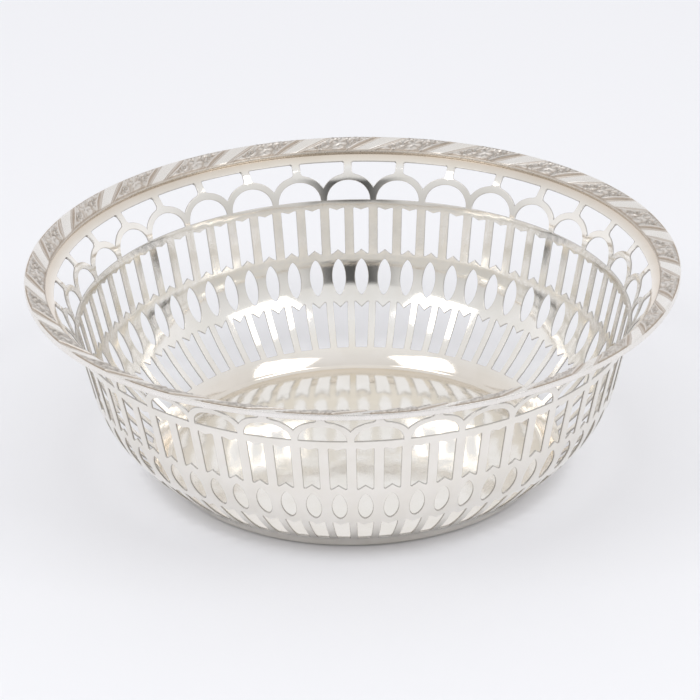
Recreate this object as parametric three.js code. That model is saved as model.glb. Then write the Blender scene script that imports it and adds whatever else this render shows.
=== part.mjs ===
// Silver bonbon basket: a round pierced bowl that stands on its own flat base, and a relief border
// soldered on its brim. Millimetres, +Z up, origin in the middle of the flat underside.
// The front of the basket, a post of the arcade, faces -Y.

import * as THREE from 'three';
import { mergeVertices } from 'three/addons/utils/BufferGeometryUtils.js';

// Bowl: sheet, base and number of bays round the wall
const SHEET = 0.5;
const BASE_R = 46.1;
const BASE_EDGE_R = 2;
const BAYS = 33;

// Bowl: the rows up the wall, each measured along its outer face
const FOOT_BAND = 4.7;
const LOWER_SLOT = 12.8;
const LOWER_BRIDGE = 1.9;
const LEAF = 9.6;
const UPPER_BRIDGE = 1.4;
const TALL_SLOT = 12.4;
const RAIL = 2.1;
const ARCH_RISE = 5.1;
const ARCH_BAND = 1.75;
const STRUT = 3.1;
const COLLAR = 2.9;
const BRIM = 4.47;

// Bowl: how steeply the wall rises from the flat, in degrees, where each stretch begins and ends
const ANGLE_AT_BASE = 56;
const ANGLE_AT_LOWER_SLOTS = 39;
const ANGLE_AT_LOWER_BRIDGE = 53;
const ANGLE_AT_TALL_SLOTS = 77.5;
const ANGLE_AT_RAIL = 77.5;
const ANGLE_AT_CROWN = 60;
const ANGLE_AT_COLLAR = 38.5;
const ANGLE_AT_BRIM = 22;
const ANGLE_AT_RIM = 18;

// Bowl: the metal left between openings, and the points cut into the slot ends
const LOWER_BAR = 1.8;
const LEAF_BAR = 2.5;
const LEAF_FULLNESS = 0.7;
const TALL_BAR = 2.4;
const POST = 1.7;
const STRUT_WIDTH = 2.1;
const LOWER_SLOT_POINT = 1.5;
const TALL_SLOT_POINT = 1.2;
const TALL_SLOT_HEAD_POINT = 0.6;

// Border: ribbons and flowered panels by turns
const SOLDER_GAP = 0.3;
const REPEATS = 25;
const BORDER_EDGE = 0.9;
const RIBBON_CROWN = 0.2;
const PANEL_CROWN = 0.5;
const BORDER_OVERHANG = 0.4;
const BORDER_LIP = 0.5;
const RIBBON_SHARE = 0.32;
const RIBBON_LEAN = 8.2;
const FIRST_RIBBON_ANGLE = 177.2;

// Fineness of the facets
const LEAF_STEPS = 6;
const ARCH_STEPS = 4;
const EDGE_STEPS = 2;
const PANEL_STEPS = 6;
const RIBBON_STEPS = 2;
const BORDER_STEPS = 4;
const ROW_STEPS = 2;
const PATH_STEP = 0.1;

const PITCH = (2 * Math.PI) / BAYS;
const radians = THREE.MathUtils.degToRad;

// Heights along the wall, from its foot
const lowerSlotFoot = FOOT_BAND;
const lowerSlotHead = lowerSlotFoot + LOWER_SLOT;
const leafFoot = lowerSlotHead + LOWER_BRIDGE;
const leafHead = leafFoot + LEAF;
const tallSlotFoot = leafHead + UPPER_BRIDGE;
const tallSlotHead = tallSlotFoot + TALL_SLOT;
const archFoot = tallSlotHead + RAIL;
const crown = archFoot + ARCH_RISE + ARCH_BAND;
const collarFoot = crown + STRUT;
const brimFoot = collarFoot + COLLAR;
const rimEdge = brimFoot + BRIM;

// The wall's outer face as a path whose rise changes evenly from one named place to the next
function wallPath() {
  const places = [
    [0, ANGLE_AT_BASE],
    [lowerSlotFoot, ANGLE_AT_LOWER_SLOTS],
    [lowerSlotHead, ANGLE_AT_LOWER_BRIDGE],
    [tallSlotFoot, ANGLE_AT_TALL_SLOTS],
    [tallSlotHead, ANGLE_AT_RAIL],
    [crown, ANGLE_AT_CROWN],
    [collarFoot, ANGLE_AT_COLLAR],
    [brimFoot, ANGLE_AT_BRIM],
    [rimEdge, ANGLE_AT_RIM],
  ];
  const riseAt = (length) => {
    const s = Math.min(length, rimEdge);
    const after = Math.max(1, places.findIndex(([end]) => end >= s));
    const [from, riseFrom] = places[after - 1];
    const [to, riseTo] = places[after];
    return radians(THREE.MathUtils.mapLinear(s, from, to, riseFrom, riseTo));
  };
  const start = radians(ANGLE_AT_BASE);
  const length = rimEdge + BORDER_LIP;
  const steps = Math.ceil(length / PATH_STEP);
  const points = [new THREE.Vector2(
    BASE_R + BASE_EDGE_R * Math.sin(start),
    BASE_EDGE_R * (1 - Math.cos(start)),
  )];
  const ds = length / steps;
  for (let i = 0; i < steps; i += 1) {
    const rise = riseAt((i + 0.5) * ds);
    const onward = new THREE.Vector2(Math.cos(rise), Math.sin(rise));
    points.push(points[i].clone().addScaledVector(onward, ds));
  }
  return { points, ds, riseAt };
}

const wall = wallPath();

// Radius, height and rise of the outer face at a length s up the wall; below 0 comes the rounded
// edge of the base, whose own arc length counts down to the flat
function outerFace(s) {
  if (s < 0) {
    const rise = Math.max(0, radians(ANGLE_AT_BASE) + s / BASE_EDGE_R);
    return {
      radius: BASE_R + BASE_EDGE_R * Math.sin(rise),
      height: BASE_EDGE_R * (1 - Math.cos(rise)),
      rise,
    };
  }
  const place = Math.min(s / wall.ds, wall.points.length - 1);
  const i = Math.min(Math.floor(place), wall.points.length - 2);
  const point = wall.points[i].clone().lerp(wall.points[i + 1], place - i);
  return { radius: point.x, height: point.y, rise: wall.riseAt(s) };
}

// The flat base is a disc of triangles round its middle point, out to where its edge turns up
const flatEdge = -radians(ANGLE_AT_BASE) * BASE_EDGE_R;
const middlePoint = [0, flatEdge - BASE_R];

// A point at an angle from the front, at a length s up the wall and a depth in from its outer face
function onWall(angle, s, depth) {
  const { radius, height, rise } = outerFace(s);
  const r = radius - depth * Math.sin(rise);
  return new THREE.Vector3(r * Math.sin(angle), -r * Math.cos(angle), height + depth * Math.cos(rise));
}

// The angle that a width across the wall takes up at a length s up it
function across(width, s) {
  return width / outerFace(s).radius;
}

// The pattern of one bay is drawn as lines of points, each [angle from the bay's post, length up the
// wall]. Lines run left to right, and the metal fills the strip between a lower and an upper line.

const LEFT = -PITCH / 2;
const RIGHT = PITCH / 2;
const columns = [-PITCH / 4, PITCH / 4];

function mirrored(line) {
  return line.map(([angle, s]) => [-angle, s]).reverse();
}

// A level row with nothing cut in it
function row(s) {
  return Array.from({ length: ROW_STEPS + 1 }, (_, i) => [PITCH * (i / ROW_STEPS - 0.5), s]);
}

// Half the angle of a slot that leaves a bar of metal between it and the next one
function halfSlot(bar, s) {
  return PITCH / 4 - across(bar / 2, s);
}

// The line across the ends of both slots, with the metal's point in the middle of each end
function slotEnds(s, bar, point) {
  const half = halfSlot(bar, s);
  const ends = columns.flatMap((middle) => {
    const tip = point === 0 ? [] : [[middle, s + point]];
    return [[middle - half, s], ...tip, [middle + half, s]];
  });
  return [[LEFT, s], ...ends, [RIGHT, s]];
}

// The three bars of a bay between two levels, where both openings are as wide as halfWidth says
function bars(from, to, halfWidth) {
  const cuts = (s) => {
    const sides = columns.flatMap((middle) => [middle - halfWidth(s), middle + halfWidth(s)]);
    return [LEFT, ...sides, RIGHT];
  };
  const lower = cuts(from);
  const upper = cuts(to);
  return [0, 2, 4].map((i) => [
    [[lower[i], from], [lower[i + 1], from]],
    [[upper[i], to], [upper[i + 1], to]],
  ]);
}

// A leaf is pointed at both ends, and its sides are parabolas
function leafStrips() {
  const widest = halfSlot(LEAF_BAR, (leafFoot + leafHead) / 2);
  const halfWidth = (s) => {
    const square = Math.min((2 * (s - leafFoot) / LEAF - 1) ** 2, 1);
    return widest * (1 - square) ** LEAF_FULLNESS;
  };
  const level = (i) => leafFoot + LEAF * (i / LEAF_STEPS);
  return Array.from({ length: LEAF_STEPS }, (_, i) => bars(level(i), level(i + 1), halfWidth)).flat();
}

// The arcade right of the post: half of an arch's band, then half of the strut over its crown
function arcadeSide() {
  const postEdge = across(POST / 2, archFoot);
  const innerHalf = RIGHT - postEdge;
  const outerHalf = innerHalf + across(ARCH_BAND, archFoot);
  const strutEdge = RIGHT - across(STRUT_WIDTH / 2, crown);
  const quarterTurn = (half, rise, from, to) => Array.from({ length: ARCH_STEPS + 1 }, (_, i) => {
    const turn = THREE.MathUtils.lerp(from, to, i / ARCH_STEPS);
    return [RIGHT - half * Math.cos(turn), archFoot + rise * Math.sin(turn)];
  });
  const inner = quarterTurn(innerHalf, ARCH_RISE, 0, Math.PI / 2);
  const meetsNeighbour = Math.acos(RIGHT / outerHalf);
  const meetsStrut = Math.acos((RIGHT - strutEdge) / outerHalf);
  const outer = quarterTurn(outerHalf, ARCH_RISE + ARCH_BAND, meetsNeighbour, meetsStrut);
  return {
    postEdge,
    tip: outer[0],
    strutEdge,
    band: [inner, outer],
    strut: [
      [inner[ARCH_STEPS], [RIGHT, collarFoot]],
      [outer[ARCH_STEPS], [strutEdge, collarFoot]],
    ],
  };
}

function bayStrips() {
  const { postEdge, tip, strutEdge, band, strut } = arcadeSide();
  const leafTips = (s) => [LEFT, ...columns, RIGHT].map((angle) => [angle, s]);
  const archFeet = [LEFT, -postEdge, postEdge, RIGHT].map((angle) => [angle, archFoot]);
  const collarLine = [LEFT, -strutEdge, strutEdge, RIGHT].map((angle) => [angle, collarFoot]);
  const edgeRows = Array.from({ length: EDGE_STEPS + 1 }, (_, i) => row(flatEdge * (1 - i / EDGE_STEPS)));
  return [
    ...edgeRows.slice(1).map((upper, i) => [edgeRows[i], upper]),
    [row(0), slotEnds(lowerSlotFoot, LOWER_BAR, 0)],
    ...bars(lowerSlotFoot, lowerSlotHead, (s) => halfSlot(LOWER_BAR, s)),
    [slotEnds(lowerSlotHead, LOWER_BAR, -LOWER_SLOT_POINT), leafTips(leafFoot)],
    ...leafStrips(),
    [leafTips(leafHead), slotEnds(tallSlotFoot, TALL_BAR, TALL_SLOT_POINT)],
    ...bars(tallSlotFoot, tallSlotHead, (s) => halfSlot(TALL_BAR, s)),
    [slotEnds(tallSlotHead, TALL_BAR, -TALL_SLOT_HEAD_POINT), archFeet],
    [archFeet.slice(1, 3), [tip]],
    band,
    band.map(mirrored),
    strut,
    strut.map(mirrored),
    [collarLine, row(brimFoot)],
    [row(brimFoot), row(rimEdge)],
  ];
}

// Triangles of a strip: each next one takes the shorter way across
function fillStrip([lower, upper]) {
  const apart = (a, b) => onWall(a[0], a[1], 0).distanceTo(onWall(b[0], b[1], 0));
  const triangles = [];
  let i = 0;
  let j = 0;
  while (i < lower.length - 1 || j < upper.length - 1) {
    const alongLower = j === upper.length - 1
      || (i < lower.length - 1 && apart(lower[i + 1], upper[j]) <= apart(lower[i], upper[j + 1]));
    if (alongLower) {
      triangles.push([lower[i], lower[i + 1], upper[j]]);
      i += 1;
    } else {
      triangles.push([lower[i], upper[j + 1], upper[j]]);
      j += 1;
    }
  }
  return triangles;
}

// A closed solid from a sheet's two faces: every open edge of the sheet gets a wall of its thickness
function sheetSolid(triangles, outer, inner) {
  const key = (point) => {
    if (point === middlePoint) return 'middle';
    const turn = Math.round((((point[0] / (2 * Math.PI)) % 1) + 1) * 1e7) % 1e7;
    return `${turn} ${Math.round(point[1] * 1e5)}`;
  };
  const edges = new Map();
  const positions = [];
  const face = (points) => points.forEach((point) => positions.push(point.x, point.y, point.z));
  triangles.forEach((triangle) => {
    face(triangle.map(outer));
    face(triangle.map(inner).reverse());
    triangle.forEach((from, i) => {
      const to = triangle[(i + 1) % 3];
      const opposite = `${key(to)}|${key(from)}`;
      if (!edges.delete(opposite)) edges.set(`${key(from)}|${key(to)}`, [from, to]);
    });
  });
  edges.forEach(([from, to]) => {
    face([outer(to), outer(from), inner(from)]);
    face([outer(to), inner(from), inner(to)]);
  });
  return closed(positions);
}

// Joins the corners that coincide, so that the surface is one closed whole
function closed(positions) {
  const geometry = new THREE.BufferGeometry();
  geometry.setAttribute('position', new THREE.Float32BufferAttribute(positions, 3));
  const merged = mergeVertices(geometry, 1e-4);
  merged.computeVertexNormals();
  return merged;
}

function bowlGeometry() {
  const triangles = [];
  const pattern = bayStrips().flatMap(fillStrip);
  for (let bay = 0; bay < BAYS; bay += 1) {
    const turned = ([angle, s]) => [angle + bay * PITCH, s];
    pattern.forEach((triangle) => triangles.push(triangle.map(turned)));
    const edge = row(flatEdge).map(turned);
    for (let i = 0; i < ROW_STEPS; i += 1) triangles.push([middlePoint, edge[i + 1], edge[i]]);
  }
  const place = (depth) => (point) => (
    point === middlePoint ? new THREE.Vector3(0, 0, depth) : onWall(point[0], point[1], depth));
  return sheetSolid(triangles, place(0), place(SHEET));
}

// Height of the border over its seat, across it from v = 0 at the collar to v = 1 at the rim
function borderHeight(onPanel, v) {
  const swell = Math.sin(Math.PI * v);
  return BORDER_EDGE + swell * THREE.MathUtils.lerp(RIBBON_CROWN, PANEL_CROWN, onPanel);
}

// Where the steps round one repeat fall, and how much each lies on the panel (0 ribbon, 1 panel)
function repeatSteps() {
  const steps = [];
  for (let i = 0; i < RIBBON_STEPS; i += 1) steps.push([RIBBON_SHARE * (i / RIBBON_STEPS), 0]);
  for (let i = 0; i < PANEL_STEPS; i += 1) {
    const share = i / PANEL_STEPS;
    steps.push([RIBBON_SHARE + (1 - RIBBON_SHARE) * share, Math.sqrt(Math.sin(Math.PI * share))]);
  }
  return steps;
}

function borderGeometry() {
  const repeat = (2 * Math.PI) / REPEATS;
  const lean = -across(RIBBON_LEAN, rimEdge);
  const sections = [];
  for (let i = 0; i < REPEATS; i += 1) {
    repeatSteps().forEach(([share, onPanel]) => {
      const angle = radians(FIRST_RIBBON_ANGLE) - repeat * (i + share);
      const section = [];
      const at = (v, height) => {
        const s = THREE.MathUtils.lerp(brimFoot - BORDER_OVERHANG, rimEdge + BORDER_LIP, v);
        return onWall(angle + lean * (v - 0.5), s, SHEET + SOLDER_GAP + height);
      };
      for (let j = 0; j <= BORDER_STEPS; j += 1) {
        const v = j / BORDER_STEPS;
        section.push(at(v, borderHeight(onPanel, v)));
      }
      for (let j = BORDER_STEPS; j >= 0; j -= 1) section.push(at(j / BORDER_STEPS, 0));
      sections.push(section);
    });
  }
  const positions = [];
  sections.forEach((section, i) => {
    const next = sections[(i + 1) % sections.length];
    section.forEach((corner, j) => {
      const k = (j + 1) % section.length;
      [corner, next[j], next[k], corner, next[k], section[k]].forEach((point) => (
        positions.push(point.x, point.y, point.z)));
    });
  });
  return closed(positions);
}

function piece(name, geometry, material) {
  const mesh = new THREE.Mesh(geometry, new THREE.MeshStandardMaterial(material));
  mesh.name = name;
  return mesh;
}

const basket = new THREE.Group();
basket.add(
  piece('pierced_bowl', bowlGeometry(), { color: 0xd9d3cb, roughness: 0.14, metalness: 1 }),
  piece('rim_border', borderGeometry(), { color: 0xcfc8be, roughness: 0.24, metalness: 1 }),
);

export default basket;
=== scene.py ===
"""Silver bonbon basket: a pierced bowl with a relief border, dressed for a studio picture.

Lengths in the classes that shape the basket are millimetres, and meshes and the studio are
in metres. The front of the basket, a post of the arcade, faces -Y.
"""

import logging
import math
from dataclasses import dataclass, field
from enum import Enum

import bpy
import numpy as np
from mathutils import Matrix, Vector


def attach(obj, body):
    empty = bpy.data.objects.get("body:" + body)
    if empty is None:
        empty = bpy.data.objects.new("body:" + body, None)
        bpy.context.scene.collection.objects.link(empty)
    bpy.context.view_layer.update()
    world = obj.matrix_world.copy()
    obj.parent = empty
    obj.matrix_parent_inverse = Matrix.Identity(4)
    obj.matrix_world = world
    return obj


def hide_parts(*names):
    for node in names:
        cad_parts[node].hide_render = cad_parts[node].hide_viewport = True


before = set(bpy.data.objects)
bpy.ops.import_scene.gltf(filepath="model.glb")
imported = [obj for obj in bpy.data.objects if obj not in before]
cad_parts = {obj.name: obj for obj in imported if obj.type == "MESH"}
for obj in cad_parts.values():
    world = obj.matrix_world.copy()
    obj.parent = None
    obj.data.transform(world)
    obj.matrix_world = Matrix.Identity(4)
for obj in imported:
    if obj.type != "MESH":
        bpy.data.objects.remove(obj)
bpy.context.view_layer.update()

MM = 0.001
BAYS = 33
PITCH = 2 * math.pi / BAYS
SHEET = 0.5
OVERHANG = 0.4
TINY = 1e-12
QUARTER_TURN = np.radians([0, 30, 60, 90])

Color = tuple[float, float, float]
Noise = tuple[float, float, float]
Stops = tuple[tuple[float, Color], ...]

log = logging.getLogger("bonbon_basket")


class Slot(Enum):
    """The finishes of the basket, by their names in the record."""

    POLISHED = "polished_silver"
    BORDER = "border_silver"


@dataclass(frozen=True)
class Rows:
    """The rows of the pattern up the wall, each measured along the outer face."""

    foot_band: float = 4.7
    lower_slot: float = 12.8
    lower_bridge: float = 1.9
    leaf: float = 9.6
    upper_bridge: float = 1.4
    tall_slot: float = 12.4
    rail: float = 2.1
    arch_rise: float = 5.1
    arch_band: float = 1.75
    strut: float = 3.1
    collar: float = 2.9
    brim: float = 4.47
    border_lip: float = 0.5

    @property
    def lower_head(self) -> float:
        """Length up to the head of the lower slots."""
        return self.foot_band + self.lower_slot

    @property
    def leaf_foot(self) -> float:
        """Length up to the lower tips of the leaves."""
        return self.lower_head + self.lower_bridge

    @property
    def leaf_head(self) -> float:
        """Length up to the upper tips of the leaves."""
        return self.leaf_foot + self.leaf

    @property
    def tall_foot(self) -> float:
        """Length up to the foot of the tall slots."""
        return self.leaf_head + self.upper_bridge

    @property
    def tall_head(self) -> float:
        """Length up to the head of the tall slots."""
        return self.tall_foot + self.tall_slot

    @property
    def arch_foot(self) -> float:
        """Length up to the top of the rail, where the arches stand."""
        return self.tall_head + self.rail

    @property
    def crown(self) -> float:
        """Length up to the top of the arches' bands."""
        return self.arch_foot + self.arch_rise + self.arch_band

    @property
    def collar_foot(self) -> float:
        """Length up to the lower edge of the collar."""
        return self.crown + self.strut

    @property
    def brim_foot(self) -> float:
        """Length up to where the brim begins."""
        return self.collar_foot + self.collar

    @property
    def rim(self) -> float:
        """Length up to the outer edge of the brim."""
        return self.brim_foot + self.brim


@dataclass(frozen=True)
class Wall:
    """The bowl's outer face, from the middle of its base to beyond its rim, as one path.

    Lengths count from the foot of the wall. The rounded edge of the base and the base itself
    lie below zero. The rise, the angle from the flat, changes evenly from place to place. The
    base is beaten up a little in its middle, by dome, so that the basket stands on its edge.
    """

    rows: Rows = field(default_factory=Rows)
    base_radius: float = 46.1
    dome: float = 0.8
    edge_radius: float = 2.0
    rise_at_base: float = 56.0
    rises: tuple[float, ...] = (39.0, 53.0, 77.5, 77.5, 60.0, 38.5, 22.0, 18.0, 18.0)
    step: float = 0.02

    @property
    def flat_edge(self) -> float:
        """Length, below zero, at which the base's rounded edge begins."""
        return -math.radians(self.rise_at_base) * self.edge_radius

    @property
    def middle(self) -> float:
        """Length, below zero, of the middle of the base."""
        return self.flat_edge - self.base_radius

    def rise(self, s: np.ndarray) -> np.ndarray:
        """Angle of the face from the flat.

        Args:
            s: Lengths along the path.

        Returns:
            The rise at each length, in radians, read evenly between the named places. On the
            base it falls from nothing in the middle to -2 dome / base_radius at its edge.
        """
        r = self.rows
        places = [self.flat_edge, 0.0, r.foot_band, r.lower_head, r.tall_foot, r.tall_head]
        places += [r.crown, r.collar_foot, r.brim_foot, r.rim, r.rim + r.border_lip]
        angles = np.radians([0.0, self.rise_at_base, *self.rises])
        slope = 2 * self.dome / self.base_radius**2
        base = -slope * np.clip(s - self.middle, 0, None)
        return np.where(s < self.flat_edge, base, np.interp(s, places, angles))

    def outline(self, s: np.ndarray | float) -> tuple[np.ndarray, np.ndarray]:
        """Radius and height of the face.

        The path is the running sum of small steps, each along (cos rise, sin rise).

        Args:
            s: Lengths along the path.

        Returns:
            The radius and the height at each length.
        """
        ends = np.arange(self.middle, self.rows.rim + self.rows.border_lip + self.step, self.step)
        turn = self.rise(ends[:-1] + self.step / 2)
        radius = np.concatenate([[0.0], np.cumsum(np.cos(turn) * self.step)])
        height = self.dome + np.concatenate([[0.0], np.cumsum(np.sin(turn) * self.step)])
        return np.interp(s, ends, radius), np.interp(s, ends, height)

    def radius(self, s: float) -> float:
        """Radius of the face at one length."""
        return float(self.outline(s)[0])

    def place(self, angle: np.ndarray, s: np.ndarray, depth: np.ndarray | float) -> np.ndarray:
        """Points of the sheet.

        Args:
            angle: Angles from the front, in radians.
            s: Lengths along the path.
            depth: How far in from the outer face.

        Returns:
            The points, one row each: the outer face's point moved in along its normal.
        """
        radius, height = self.outline(s)
        rise = self.rise(s)
        r = radius - depth * np.sin(rise)
        return np.stack([r * np.sin(angle), -r * np.cos(angle), height + depth * np.cos(rise)], -1)

    def normal(self, angle: np.ndarray, s: np.ndarray) -> np.ndarray:
        """Outward normals of the outer face.

        Args:
            angle: Angles from the front, in radians.
            s: Lengths along the path.

        Returns:
            Unit vectors, one row each.
        """
        rise = self.rise(s)
        out = np.sin(rise)
        return np.stack([out * np.sin(angle), -out * np.cos(angle), -np.cos(rise)], -1)


def unit(vectors: np.ndarray) -> np.ndarray:
    """Vectors scaled to length one, with zeros left as they are."""
    return vectors / np.maximum(np.linalg.norm(vectors, axis=-1, keepdims=True), TINY)


def bulge(square: np.ndarray) -> np.ndarray:
    """Height of a round dome of height one: the root of 1 - the squared distance."""
    return np.clip(1 - square, 0, 1) ** 0.5


def grid_faces(rows: int, columns: int, closed: bool = False) -> np.ndarray:
    """Four-cornered faces of a grid of points.

    Args:
        rows: Number of rows of points.
        columns: Number of points in a row.
        closed: Whether the last column joins the first one.

    Returns:
        Corner numbers, four to a face, running right and then up.
    """
    across = columns if closed else columns - 1
    i, j = np.meshgrid(np.arange(rows - 1), np.arange(across), indexing="ij")
    left, right = i * columns + j, i * columns + (j + 1) % columns
    return np.stack([left, right, right + columns, left + columns], -1).reshape(-1, 4)


def mesh_object(
    name: str, points: np.ndarray, faces: np.ndarray, normals: np.ndarray | None = None
) -> bpy.types.Object:
    """A smooth mesh object at the origin.

    Args:
        name: Name of the piece.
        points: Corner positions in metres.
        faces: Corner numbers, three or four to a face.
        normals: Unit normals at the corners, or None to leave them to the faces.

    Returns:
        The object, linked to the scene.
    """
    mesh = bpy.data.meshes.new(name)
    mesh.from_pydata(points.tolist(), [], faces.tolist())
    mesh.polygons.foreach_set("use_smooth", np.ones(len(mesh.polygons), bool))
    if normals is not None:
        mesh.normals_split_custom_set_from_vertices(normals.tolist())
    mesh.update()
    item = bpy.data.objects.new(name, mesh)
    bpy.context.scene.collection.objects.link(item)
    return item


def set_mask(
    item: bpy.types.Object, name: str, values: np.ndarray, domain: str = "POINT"
) -> None:
    """Stores one number per corner or per face for a material to read.

    Args:
        item: The object.
        name: Name of the attribute.
        values: One number for each corner or face.
        domain: POINT for corners, FACE for faces.
    """
    attribute = item.data.attributes.new(name, "FLOAT", domain)
    attribute.data.foreach_set("value", values.astype(np.float32))


@dataclass
class Wiring:
    """Adds nodes to a tree and joins them. An input is a value or another node's socket."""

    tree: bpy.types.NodeTree

    def node(self, kind: str, inputs: dict | None = None, **settings: object) -> bpy.types.Node:
        """Adds a node.

        Args:
            kind: Its type, without the word ShaderNode.
            inputs: What goes into its sockets, by their names or numbers.
            settings: The node's own settings, which are made first.

        Returns:
            The node.
        """
        node = self.tree.nodes.new("ShaderNode" + kind)
        for name, value in settings.items():
            setattr(node, name, value)
        self.feed(node, inputs or {})
        return node

    def feed(self, node: bpy.types.Node, inputs: dict) -> None:
        """Fills sockets of a node.

        Args:
            node: The node.
            inputs: What goes into its sockets, by their names or numbers.
        """
        for name, value in inputs.items():
            if isinstance(value, bpy.types.NodeSocket):
                self.tree.links.new(value, node.inputs[name])
            else:
                node.inputs[name].default_value = value

    def mix(self, share: object, a: object, b: object, blend: str = "MIX") -> bpy.types.NodeSocket:
        """Colour a turned by a share into colour b, or blended with it.

        Args:
            share: How much of b there is.
            a: The first colour.
            b: The second colour.
            blend: MIX, or MULTIPLY to tint a with b.

        Returns:
            The mixed colour.
        """
        inputs = {"Factor": share, "A": a, "B": b}
        return self.node("Mix", inputs, data_type="RGBA", blend_type=blend).outputs["Result"]

    def carry(
        self, value: bpy.types.NodeSocket, start: tuple, end: tuple, kind: str = "LINEAR"
    ) -> bpy.types.NodeSocket:
        """A value carried from one range to another, and held at its ends.

        Args:
            value: The value.
            start: The range that it comes from.
            end: The range that it goes to.
            kind: LINEAR, or SMOOTHSTEP for the smooth step 3 t^2 - 2 t^3.

        Returns:
            The carried value.
        """
        inputs = {"Value": value, "From Min": start[0], "From Max": start[1]}
        inputs.update({"To Min": end[0], "To Max": end[1]})
        return self.node("MapRange", inputs, interpolation_type=kind).outputs["Result"]

    def reckon(self, operation: str, *numbers: object) -> bpy.types.NodeSocket:
        """The result of an operation on numbers."""
        return self.node("Math", dict(enumerate(numbers)), operation=operation).outputs["Value"]


@dataclass(frozen=True)
class SilverFinish:
    """One silver finish: its tones, its gloss and how uneven it is.

    Attributes:
        slot: The record's material slot.
        light: Tone of the metal where no shade is painted.
        dark: Tone painted where the mask is full, as shade in cut edges and low relief.
        seam: Tone painted as shade along the join of bowl and border, and as a
            warm reflection in the base's inner corner.
        mask: Name of the attribute of painted shade that darkens the metal.
        roughness: Lowest and highest roughness of the clean metal.
        wave: Height in metres of the slow unevenness left by the hammer.
        dark_roughness: Roughness added where the mask is full.
        grain: Height in metres of the fine marks left by polishing.
    """

    slot: Slot
    light: Color
    dark: Color
    seam: Color
    mask: str
    roughness: tuple[float, float]
    wave: float
    dark_roughness: float = 0.25
    grain: float = 0.000004


# Dark tone: painted shade in the cut edges. Tint: painted shade by the border and a painted warm
# reflection in the base.
POLISHED = SilverFinish(
    slot=Slot.POLISHED,
    light=(0.92, 0.888, 0.834),
    dark=(0.38, 0.355, 0.33),
    seam=(0.83, 0.76, 0.69),
    mask="cut_edge",
    roughness=(0.05, 0.10),
    wave=0.00015,
)
# Dark tone: painted shade in the relief's low spots. Tint: painted shade along the inner edge.
CAST = SilverFinish(
    slot=Slot.BORDER,
    light=(0.89, 0.861, 0.826),
    dark=(0.42, 0.325, 0.24),
    seam=(0.80, 0.77, 0.73),
    mask="hollow",
    roughness=(0.24, 0.36),
    wave=0.00002,
)


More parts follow.
